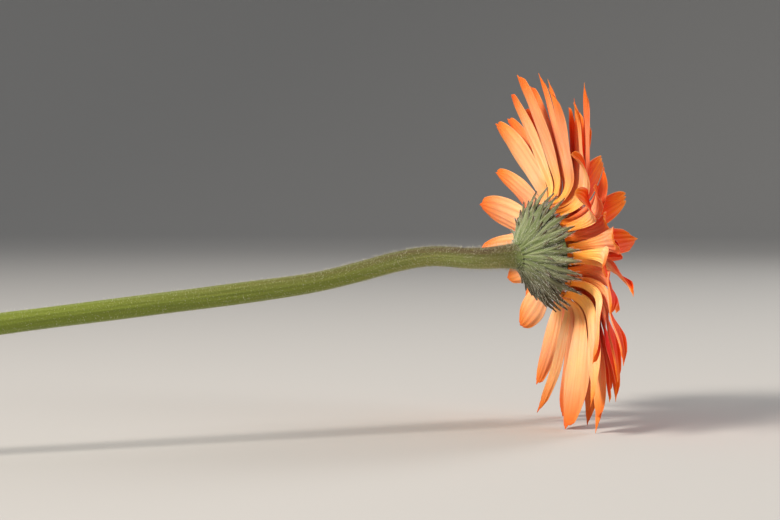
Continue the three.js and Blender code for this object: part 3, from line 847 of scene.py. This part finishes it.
def disc_florets():
    """Florets set in a golden-angle spiral: buds in the middle, opened florets with white lobes outside."""
    rng = np.random.default_rng(5)
    parts = [disc_dome()]
    number = np.arange(DISC_FLORETS) + 0.5
    radius = DISC_REACH * np.sqrt(number / DISC_FLORETS)
    out, around = directions(number * GOLDEN_ANGLE)
    lean = np.radians(8 + 48 * (radius / DISC_REACH) ** 2)[:, None] + rng.normal(0, 0.08, (DISC_FLORETS, 1))
    along = out * np.sin(lean) + UPRIGHT * np.cos(lean) + around * rng.normal(0, 0.08, lean.shape)
    origin = radius[:, None] * out + (disc_top(radius) - 0.6)[:, None] * UPRIGHT
    frames = framed(along, around)
    size = rng.uniform(0.85, 1.15, (DISC_FLORETS, 1, 1))
    for rings, ripe, chosen in ((BUD, 0.0, radius < BUD_REACH), (OPENED, 1.0, radius >= BUD_REACH)):
        shape, shape_faces = floret_shape(rings)
        points, faces = scatter(shape, shape_faces, origin[chosen], (frames * size)[chosen])
        height = np.clip(shape[:, 2] / shape[:, 2].max(), 0, 1)
        count = int(chosen.sum())
        values = dict(along=np.tile(height, count), ripe=np.full(count * len(shape), ripe))
        parts.append((to_table(points), faces, values))
    return joined(parts)


points, faces, values = disc_florets()
piece("disc", points, faces, "disc", FLORET_TISSUE, ["disc_florets"], **values)

# ---- Cup of bracts ----
BRACT_STATIONS = 30
BRACT_ACROSS = 11
BRACT_HAIRS = 70                  # on each
WALL_SAMPLES = 400
# Rows of bracts from the neck outwards: how many, turn of the first, where they start and end along the
# cup's wall, width, how far the row lies above the wall and how far its tips stand off.
BRACT_ROWS = {
    "a": dict(count=19, turn=0.0, start=0.0, end=0.46, width=2.6, over=0.8, spread=1.2),
    "b": dict(count=23, turn=0.4, start=0.09, end=0.62, width=2.5, over=0.45, spread=1.4),
    "c": dict(count=29, turn=0.1, start=0.22, end=0.80, width=3.1, over=0.1, spread=1.2),
}


def cup_wall():
    """Length along the cup's wall, and its radius and height there; the radius is smoothed by a bell."""
    z = np.linspace(-18.2, 0.0, WALL_SAMPLES)
    radius = cup_radius(z) - waist(z)
    weights = np.hanning(61)
    weights /= weights.sum()
    radius = np.convolve(np.pad(radius, 30, mode="edge"), weights, mode="valid")
    length = np.append(0, np.cumsum(np.hypot(np.diff(radius), np.diff(z))))
    return length, radius, z


WALL_LENGTH, WALL_RADIUS, WALL_Z = cup_wall()
BRACT_HAIR_ROOTS = []


def bract(at, start, end, width, over, spread, rng):
    """A lance-shaped scale: its middle line follows the cup's wall from start to end and leaves it towards
    the tip by `spread`; across, it is bent to the cup and has a low keel."""
    t = np.linspace(0, 1, BRACT_STATIONS)
    lines = BRACT_ACROSS
    v = np.linspace(-1, 1, lines)
    loop_v, side = front_and_back(v)
    length = (start + (end - start) * t) * WALL_LENGTH[-1]
    radius = np.interp(length, WALL_LENGTH, WALL_RADIUS)
    z = np.interp(length, WALL_LENGTH, WALL_Z)
    slope = np.arctan2(np.gradient(z), np.gradient(radius))
    lean = rng.uniform(-1, 1) * 0.06
    bend = rng.uniform(-1, 1) * 0.09
    narrowing = 1 - np.clip((t - 0.25) / 0.75, 0, 1) ** 1.5
    half = width / 2 * (0.5 + 0.5 * smooth(t / 0.35)) * narrowing + 0.05
    tip = np.clip((t - 0.45) / 0.55, 0, 1)
    lift = over * (1 - 0.6 * t) + spread * tip**2 + 0.12 * np.sin(6 * t + 9 * bend)
    normal_r, normal_z = np.sin(slope), -np.cos(slope)
    middle_r, middle_z = radius + lift * normal_r, z + lift * normal_z
    swing = lean * t + bend * t**2
    keel = 0.34 * np.exp(-((loop_v / 0.35) ** 2))[None, :] * smooth(t / 0.2)[:, None]
    thick = 0.22 * np.sqrt(1 - 0.9 * loop_v**2)[None, :] * (1 - 0.6 * t)[:, None]
    fold = -0.42 * (np.abs(loop_v) ** 1.6)[None, :] * half[:, None]
    height = keel * (side > -0.5) + side * thick + fold
    angle = np.degrees(swing[:, None] + half[:, None] * loop_v / middle_r[:, None])
    out, _ = directions(at + angle)
    point_r = middle_r[:, None] + height * normal_r[:, None]
    point_z = middle_z[:, None] + height * normal_z[:, None]
    points = point_r[..., None] * out + point_z[..., None] * UPRIGHT
    around = len(loop_v)
    ends = np.array([points[0].mean(0), points[-1].mean(0)])
    flat = np.concatenate([points.reshape(-1, 3), ends])
    along = np.concatenate([np.repeat(t, around), [0, 1]])
    rim = np.concatenate([np.tile(np.abs(loop_v), BRACT_STATIONS), [0, 0]])
    seed = rng.uniform(0, 90)
    grain = np.stack([
        np.concatenate([(half[:, None] * loop_v).ravel(), [0, 0]]), along * (end - start) * WALL_LENGTH[-1],
        np.full(len(flat), seed),
    ], -1)
    # Where its hairs stand: on its outer face, more of them at its rims.
    chosen_t = rng.integers(1, BRACT_STATIONS - 2, BRACT_HAIRS)
    chosen_v = np.where(rng.random(BRACT_HAIRS) < 0.6, rng.choice([0, 1, lines - 2, lines - 1], BRACT_HAIRS),
                        rng.integers(0, lines, BRACT_HAIRS))
    root = points[chosen_t, chosen_v]
    following = chosen_t + 2 - (chosen_t > BRACT_STATIONS - 4)
    along_dir = points[following, chosen_v] - points[chosen_t - 1, chosen_v]
    outwards = normal_r[chosen_t, None] * out[chosen_t, chosen_v] + normal_z[chosen_t, None] * UPRIGHT
    sideways = np.cross(outwards, along_dir)
    sideways /= np.linalg.norm(sideways, axis=-1, keepdims=True)
    rim_side = np.where(chosen_v > lines // 2, 1, -1)[:, None] * np.abs(v[chosen_v])[:, None]
    BRACT_HAIR_ROOTS.append((root, along_dir, outwards, sideways * rim_side))
    # How far a scale faces down, for its darker colour there: partly its own flush, partly painted shade.
    under = smooth((-flat[:, 1] / CUP_RADIUS + 0.1) / 0.7)
    values = dict(along=along, rim=rim, grain=grain, under=under)
    return to_table(flat), tube(BRACT_STATIONS, around), values


def add_bracts():
    """Three rows of bracts; each is its own piece, and together they stand for the frame's sixteen."""
    rng = np.random.default_rng(11)
    nodes = [f"bract_{ring}_{i + 1}" for i in range(8) for ring in ("lower", "upper")]
    for row, spec in BRACT_ROWS.items():
        for i in range(spec["count"]):
            at = (i + spec["turn"] + rng.uniform(-0.16, 0.16)) * 360 / spec["count"]
            points, faces, values = bract(
                at, spec["start"], spec["end"] * rng.uniform(0.93, 1.03),
                spec["width"] * rng.uniform(0.85, 1.15),
                spec["over"] + rng.uniform(-0.08, 0.08), spec["spread"] * rng.uniform(0.5, 1.5), rng,
            )
            stood_for = [nodes.pop(0)] if nodes else []
            piece(f"scale_{row}{i + 1:02d}", points, outward(points, faces), "bracts", BRACT_TISSUE,
                  stood_for, **values)


add_bracts()

HAIR_RADIUS = 0.028               # at the root; real ones are finer than would show


def hair_shape():
    """A hair 1 long: a three-cornered spike with one joint, bent a little towards its first axis."""
    turn = np.arange(3) * 2 * np.pi / 3
    low = stack(np.cos(turn), np.sin(turn), 0.0)
    middle = stack(0.7 * np.cos(turn), 0.7 * np.sin(turn), 0.0) + [0, 0, 0.5]
    points = np.concatenate([low, middle, [[0, 0, 1.0]]])
    quads = np.array([[i, (i + 1) % 3, (i + 1) % 3 + 3, i + 3] for i in range(3)])
    triangles = np.array([[3, 4, 6], [4, 5, 6], [5, 3, 6], [2, 1, 0]])
    return points, [quads, triangles]


def hairs(roots, along, bend, length, radius):
    """Hairs from roots along `along`, their tips pulled by `bend` times the square of the height."""
    shape, faces = hair_shape()
    frames = framed(along, np.cross(along, [0.3, 0.5, 0.81]))
    scaled = frames * np.stack([radius, radius, length], -1)[:, :, None]
    points, all_faces = scatter(shape, faces, roots, scaled)
    height = np.tile(shape[:, 2], len(roots))
    points = points + np.repeat(bend, len(shape), axis=0) * (height**2)[:, None]
    return points, all_faces, height


def bract_hairs():
    """Silky pale hairs that lie along the bracts and stand off their rims."""
    rng = np.random.default_rng(3)
    root, along, outwards, sideways = (np.concatenate(part) for part in zip(*BRACT_HAIR_ROOTS))
    count = len(root)
    along = along / np.linalg.norm(along, axis=-1, keepdims=True)
    direction = along + 0.35 * outwards + 0.5 * sideways + rng.normal(0, 0.18, (count, 3))
    length = rng.uniform(0.8, 2.0, count)
    points, faces, height = hairs(
        root, direction, along * 0.3 + rng.normal(0, 0.1, (count, 3)), length,
        np.full(count, HAIR_RADIUS),
    )
    return to_table(points), faces, dict(along=height)


points, faces, values = bract_hairs()
piece("bract_hairs", points, faces, "bracts", FELT_HAIR, **values)


HEART_STATIONS = 50
HEART_SIDES = 96


def heart():
    """The receptacle: its wall turned round the axis, from a soft collar at the neck to its rim, with 13
    faint ripples round it."""
    profile = heart_profile()
    profile[:, 0] -= waist(profile[:, 1])
    radius = np.concatenate([[0.4, 1.8, 2.4, 3.0], profile[2:, 0], [9.0, 0.4]])
    z = np.concatenate([[-17.5, -17.4, -17.2, -16.6], profile[2:, 1], [RECEPTACLE_TOP] * 2])
    share = np.linspace(0, 1, len(z))
    fine = np.linspace(0, 1, HEART_STATIONS)
    radius, z = np.interp(fine, share, radius), np.interp(fine, share, z)
    turn = np.arange(HEART_SIDES) * 360 / HEART_SIDES
    out, _ = directions(turn)
    ripple = 1 + 0.012 * np.cos(np.radians(turn * 13))
    points = (radius[:, None] * ripple)[..., None] * out + z[:, None, None] * UPRIGHT
    flat = np.concatenate([points.reshape(-1, 3), [[0, 0, z[0]], [0, 0, z[-1]]]])
    none = np.zeros(len(flat))
    grain = np.stack([
        np.append(np.tile(np.radians(turn) * 8, HEART_STATIONS), [0, 0]),
        np.append(np.repeat(fine * 14, HEART_SIDES), [0, 14]), none,
    ], -1)
    along = np.append(np.repeat(fine, HEART_SIDES), [0, 1])
    return to_table(flat), tube(HEART_STATIONS, HEART_SIDES), dict(along=along, rim=none, grain=grain)


points, faces, values = heart()
piece("cup_heart", points, outward(points, faces), "receptacle", HEART_TISSUE, ["receptacle"], **values)


# ---- Stem ----
STEM_STATIONS = 420
STEM_SIDES = 54
STEM_HAIRS = 11000
CUT_EDGE = 0.12                   # how far the skin's edge is set in at the cut
CUT_LIP = 0.985                   # ring of the cut face that stands a little proud
FLARE = 1.3                       # how much wider the stem gets where it runs into the cup
FLARE_LENGTH = 7.0


def centripetal(points, samples):
    """A centripetal Catmull-Rom curve through points, sampled evenly within each span."""
    points = np.asarray(points, float)
    padded = np.concatenate([[2 * points[0] - points[1]], points, [2 * points[-1] - points[-2]]])
    p0, p1, p2, p3 = padded[:-3], padded[1:-2], padded[2:-1], padded[3:]
    d0, d1, d2 = (np.sqrt(np.linalg.norm(b - a, axis=1))[:, None] for a, b in ((p0, p1), (p1, p2), (p2, p3)))
    t1 = ((p1 - p0) / d0 - (p2 - p0) / (d0 + d1) + (p2 - p1) / d1) * d1
    t2 = ((p2 - p1) / d1 - (p3 - p1) / (d1 + d2) + (p3 - p2) / d2) * d1
    t = (np.arange(samples) / samples)[None, :, None]
    p1, p2, t1, t2 = (x[:, None, :] for x in (p1, p2, t1, t2))
    curve = p1 + t1 * t + (3 * (p2 - p1) - 2 * t1 - t2) * t**2 + (2 * (p1 - p2) + t1 + t2) * t**3
    return np.concatenate([curve.reshape(-1, 3), points[-1:]])


def stem_line():
    """Centre line of the stem from inside the cup to the cut end, evenly spaced: it leaves the flower nearly
    along its axis, then follows STEM_COURSE down to the table."""
    neck = to_table(np.array([0, 0, -18.9]))
    points = [np.array([neck[0] - share * STEM_LENGTH, 0, height * neck[2]]) for share, height in STEM_COURSE]
    points.append(np.array([neck[0] - STEM_LENGTH, 0, STEM_RADIUS_CUT]))
    course = points[1][2]
    points[1] = neck - FLOWER_AXIS * STEM_LENGTH * STEM_COURSE[1][0]
    points[1][2] = (points[1][2] + course) / 2
    curve = centripetal(points, 40)
    curve = np.concatenate([[to_table(np.array([0, 0, -15.8]))], curve])
    length = np.append(0, np.cumsum(np.linalg.norm(np.diff(curve, axis=0), axis=1)))
    even = np.linspace(0, length[-1], STEM_STATIONS)
    line = np.stack([np.interp(even, length, curve[:, k]) for k in range(3)], -1)
    return line, even


STEM_LINE, STEM_ALONG = stem_line()


def stem_frame():
    """Tangent, upward and sideways directions at each station."""
    tangent = np.gradient(STEM_LINE, axis=0)
    tangent /= np.linalg.norm(tangent, axis=1, keepdims=True)
    side = np.tile([0.0, 1, 0], (len(tangent), 1))
    up = np.cross(tangent, side)
    return tangent, up / np.linalg.norm(up, axis=1, keepdims=True), side


STEM_TANGENT, STEM_UP, STEM_SIDE = stem_frame()


def stem_radius(share, turn):
    """Radius of the stem: a straight taper, slow swellings, shallow ribs and a flare into the cup."""
    taper = STEM_RADIUS_NECK + (STEM_RADIUS_CUT - CUT_EDGE - STEM_RADIUS_NECK) * share
    swell = 0.06 * np.sin(31 * share + 1) + 0.04 * np.sin(73 * share)
    ribs = 0.05 * np.cos(13 * turn + 3 * np.sin(9 * share)) + 0.03 * np.cos(7 * turn + 40 * share)
    return taper + swell + ribs + FLARE * np.exp(-share * STEM_LENGTH / FLARE_LENGTH)


def stem():
    """The stalk: rings round its centre line, closed at the neck, with a dished face at the cut end."""
    share = STEM_ALONG / STEM_ALONG[-1]
    turn = np.arange(STEM_SIDES) * 2 * np.pi / STEM_SIDES
    radius = stem_radius(share[:, None], turn[None, :])
    radius[-1] -= CUT_EDGE
    ring_up = np.cos(turn)[None, :, None] * STEM_UP[:, None, :]
    ring_side = np.sin(turn)[None, :, None] * STEM_SIDE[:, None, :]
    points = STEM_LINE[:, None, :] + radius[..., None] * (ring_up + ring_side)
    points[..., 2] = np.maximum(points[..., 2], 0.02)
    size = STEM_STATIONS * STEM_SIDES
    flat = np.concatenate([points.reshape(-1, 3), STEM_LINE[:1]])
    faces = [wrap(STEM_STATIONS, STEM_SIDES), fan(np.arange(STEM_SIDES), size)]
    along = np.append(np.repeat(share, STEM_SIDES), 0)
    # How far each side faces down, for the darker underside: partly flush, partly painted shade.
    under = np.append(np.tile(smooth(0.25 - 0.9 * np.cos(turn)), STEM_STATIONS), 0.5)
    wound = np.stack([np.cos(turn) * 3, np.sin(turn) * 3], -1)
    grain = np.stack([
        np.append(np.tile(wound[:, 0], STEM_STATIONS), 0), np.append(np.repeat(STEM_ALONG, STEM_SIDES), 0),
        np.append(np.tile(wound[:, 1], STEM_STATIONS), 0),
    ], -1)
    return flat, faces, dict(along=along, under=under, grain=grain), points[-1]


def cut_face(ring):
    """The cut end: rings from the skin's edge in to the middle, dished a little."""
    centre = STEM_LINE[-1]
    shares = np.array([1, CUT_LIP, 0.95, 0.9, 0.82, 0.7, 0.55, 0.4, 0.25, 0.12])
    inward = -STEM_TANGENT[-1]
    dish = 0.35 * smooth((1 - shares) / 0.2) + 0.9 * smooth((0.3 - shares) / 0.3)
    depth = dish - CUT_EDGE * (shares == CUT_LIP)
    points = centre + shares[:, None, None] * (ring - centre) + depth[:, None, None] * inward
    flat = np.concatenate([points.reshape(-1, 3), [centre + inward * 1.3]])
    count = len(shares)
    size = count * STEM_SIDES
    tail = fan(np.arange(STEM_SIDES) + size - STEM_SIDES, size)[:, ::-1]
    along = np.append(np.repeat(shares, STEM_SIDES), 0)
    local = flat - centre
    return flat, [wrap(count, STEM_SIDES), tail], dict(along=along, grain=local, under=np.zeros(len(flat)))


def add_stem():
    """Skin and cut face as one closed mesh with two materials."""
    skin, skin_faces, skin_values, ring = stem()
    face, face_faces, face_values = cut_face(ring)
    skin_size, sides = len(skin), STEM_SIDES
    # The cut face's first ring is the skin's last one, so its point numbers are taken from there.
    renumber = np.arange(len(face)) + skin_size - sides
    renumber[:sides] = np.arange(sides) + (STEM_STATIONS - 1) * sides
    points = np.concatenate([skin, face[sides:]])
    quads = np.concatenate([skin_faces[0], renumber[face_faces[0]]])
    triangles = np.concatenate([skin_faces[1], renumber[face_faces[1]]])
    values = {key: np.concatenate([skin_values[key], face_values[key][sides:]]) for key in skin_values}
    made = piece("stalk", points, outward(points, [quads, triangles]), "stem", STALK_SKIN, ["stem"], **values)
    made.data.materials.append(CUT_PITH)
    cut = np.concatenate([
        np.arange(len(quads)) >= len(skin_faces[0]), np.arange(len(triangles)) >= len(skin_faces[1]),
    ])
    made.data.polygons.foreach_set("material_index", cut.astype(np.int32))


add_stem()


def stem_hairs():
    """Short fuzz all over the stalk, longer and closer near the flower."""
    rng = np.random.default_rng(8)
    share = np.where(rng.random(STEM_HAIRS) < 0.2, rng.random(STEM_HAIRS) ** 2 * 0.16, rng.random(STEM_HAIRS))
    share = np.clip(share, 0.004, 0.998)
    turn = rng.uniform(0, 2 * np.pi, STEM_HAIRS)
    station = share * (STEM_STATIONS - 1)
    pick = np.round(station).astype(int)
    centre = np.stack([np.interp(station, np.arange(STEM_STATIONS), STEM_LINE[:, k]) for k in range(3)], -1)
    outwards = np.cos(turn)[:, None] * STEM_UP[pick] + np.sin(turn)[:, None] * STEM_SIDE[pick]
    root = centre + (stem_radius(share, turn) - 0.04)[:, None] * outwards
    length = rng.uniform(0.45, 1.0, STEM_HAIRS) * (1 + 0.7 * np.exp(-share * 14))
    direction = outwards + rng.normal(0, 0.3, (STEM_HAIRS, 3))
    direction /= np.linalg.norm(direction, axis=1, keepdims=True)
    keep = (root + direction * length[:, None])[:, 2] > 0.1
    keep &= root[:, 2] > 0.1
    points, faces, height = hairs(
        root[keep], direction[keep], rng.normal(0, 0.12, (int(keep.sum()), 3)), length[keep],
        np.full(int(keep.sum()), HAIR_RADIUS),
    )
    points[:, 2] = np.maximum(points[:, 2], 0.03)
    return points, faces, dict(along=height)


points, faces, values = stem_hairs()
piece("stalk_hairs", points, faces, "stem", STALK_HAIR, **values)


# ---- Table, light and camera ----
FLOOR_REACH = 2.8                 # metres
FLOOR_CURVE = 1.6
FLOOR_SIDES = 96


def floor_material():
    """Matt pale paper: no pattern, so that only the flower's shadow shows on it."""
    material, tree = new_material("pale_floor")
    shader = add(tree, "ShaderNodeBsdfPrincipled", {
        "Base Color": linear("#BEBCB8"), "Roughness": 0.9, "Specular IOR Level": 0.1,
    }).outputs[0]
    add(tree, "ShaderNodeOutputMaterial", {"Surface": shader})
    return material


def add_floor():
    """A round table top that curves up into a wall all round by a quarter circle, so that no edge shows."""
    turn = np.linspace(0, math.pi / 2, 16)[1:]
    wall = FLOOR_REACH + FLOOR_CURVE
    radius = np.concatenate([[0.5, 1.2, FLOOR_REACH], FLOOR_REACH + FLOOR_CURVE * np.sin(turn), [wall]])
    z = np.concatenate([[0, 0, 0], FLOOR_CURVE * (1 - np.cos(turn)), [FLOOR_CURVE * 1.05]])
    out, _ = directions(np.arange(FLOOR_SIDES) * 360 / FLOOR_SIDES)
    points = radius[:, None, None] * out + z[:, None, None] * UPRIGHT
    points = np.concatenate([points.reshape(-1, 3), [[0, 0, 0]]])
    faces = [wrap(len(radius), FLOOR_SIDES), fan(np.arange(FLOOR_SIDES), len(points) - 1)]
    mesh = bpy.data.meshes.new("floor")
    mesh.from_pydata(points.tolist(), [], faces[0].tolist() + faces[1].tolist())
    mesh.polygons.foreach_set("use_smooth", np.ones(len(mesh.polygons), bool))
    mesh.materials.append(floor_material())
    floor = bpy.data.objects.new("floor", mesh)
    bpy.context.scene.collection.objects.link(floor)


add_floor()

CAMERA_AZIMUTH = -22.5            # degrees from square on to the stem, towards the cut end
CAMERA_ELEVATION = 2.0
CAMERA_DISTANCE = 563             # from the flower's centre, in mm
LENS = 85
SENSOR = 36
FRAME_WIDTH = 780
FRAME_HEIGHT = 520
HEAD_IN_FRAME = (570, 248)       # where the flower's centre falls in the frame, from its top left


def camera_directions():
    """Backwards, right and up of the camera, as unit vectors."""
    a, e = math.radians(CAMERA_AZIMUTH), math.radians(CAMERA_ELEVATION)
    back = np.array([math.sin(a) * math.cos(e), -math.cos(a) * math.cos(e), math.sin(e)])
    right = np.cross(-back, [0, 0, 1])
    right /= np.linalg.norm(right)
    return back, right, np.cross(back, right)


def standing_at(place, x, y, z):
    """The matrix of a camera or lamp at a place with its three axes along x, y and z."""
    matrix = np.eye(4)
    matrix[:3, :4] = np.stack([x, y, z, place], 1)
    return Matrix(matrix.tolist())


def add_camera():
    """Sets the camera back from the flower and slides it until the flower falls at HEAD_IN_FRAME."""
    back, right, up = camera_directions()
    per_unit = CAMERA_DISTANCE / (LENS / SENSOR * FRAME_WIDTH)
    across = (HEAD_IN_FRAME[0] - FRAME_WIDTH / 2) * per_unit
    above = (FRAME_HEIGHT / 2 - HEAD_IN_FRAME[1]) * per_unit
    place = (HEAD - across * right - above * up + back * CAMERA_DISTANCE) * MM
    data = bpy.data.cameras.new("camera")
    data.lens, data.sensor_width = LENS, SENSOR
    data.clip_start, data.clip_end = 0.01, 100
    camera = bpy.data.objects.new("camera", data)
    bpy.context.scene.collection.objects.link(camera)
    camera.matrix_world = standing_at(place, right, up, back)
    bpy.context.scene.camera = camera


LIGHT_SPREAD = 90                 # degrees; grids on the soft boxes keep the floor below them from glaring
LIGHT_DISTANCE = 2.2              # metres


def add_light(name, direction, size, power, colour):
    """A square soft box that looks at the flower from a direction given as right, up and back shares."""
    back, right, _ = camera_directions()
    towards = direction[0] * right + direction[1] * UPRIGHT + direction[2] * back
    towards /= np.linalg.norm(towards)
    data = bpy.data.lights.new(name, "AREA")
    data.shape, data.size, data.energy = "SQUARE", size, power
    data.color = linear(colour)[:3]
    data.spread = math.radians(LIGHT_SPREAD)
    lamp = bpy.data.objects.new(name, data)
    bpy.context.scene.collection.objects.link(lamp)
    x = np.cross([0, 0, 1], towards)
    x /= np.linalg.norm(x)
    y = np.cross(towards, x)
    place = HEAD * MM + towards * LIGHT_DISTANCE
    lamp.matrix_world = standing_at(place, x, y, towards)


add_camera()
add_light("key", (-0.85, 0.75, 0.6), 0.6, 14.6, "#FFF6EC")
add_light("fill", (1.0, 0.4, 0.35), 1.0, 3.1, "#FFFFFF")
add_light("back", (0.8, 0.6, -0.6), 1.0, 5.6, "#FFFFFF")

world = bpy.data.worlds.new("studio")
world.use_nodes = True
world.node_tree.nodes["Background"].inputs["Color"].default_value = linear("#E6E8EC")
world.node_tree.nodes["Background"].inputs["Strength"].default_value = 0.38
bpy.context.scene.world = world
bpy.context.scene.view_settings.view_transform = "Standard"

bpy.context.view_layer.update()
